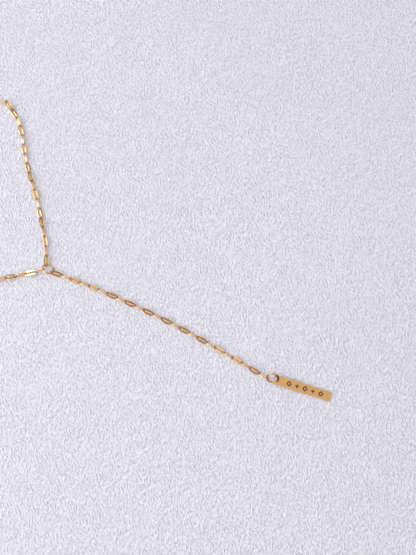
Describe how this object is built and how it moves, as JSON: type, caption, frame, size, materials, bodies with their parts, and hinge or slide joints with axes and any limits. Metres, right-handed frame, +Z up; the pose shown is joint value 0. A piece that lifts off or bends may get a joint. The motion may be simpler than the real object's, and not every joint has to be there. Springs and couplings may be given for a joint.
{
  "type": "y necklace",
  "caption": "Y necklace lying flat: a loop and a straight drop of flattened chain links, joined by a round ring, with a slim engraved bar at the end of the drop.",
  "frame": {"origin": "middle of the necklace's bounding box on the surface it lies on", "axes": "+Z up from the surface, +X from the clasp towards the bar, +Y towards the part of the loop that lies above the drop in the picture"},
  "size_m": [0.2506, 0.1082, 0.0032],
  "materials": {
    "chain": "polished yellow gold plate",
    "rings": "polished, slightly coppery gold plate",
    "bar": "satin gold plate with a dark engraved row",
    "clasp": "polished yellow gold plate"
  },
  "bodies": {
    "root": {"right_neck_chain": "chain", "left_neck_chain": "chain", "drop_chain": "chain", "y_ring": "rings", "pendant_ring": "rings", "bar_pendant": "bar", "clasp": "clasp", "end_ring": "rings"}
  },
  "joints": []
}
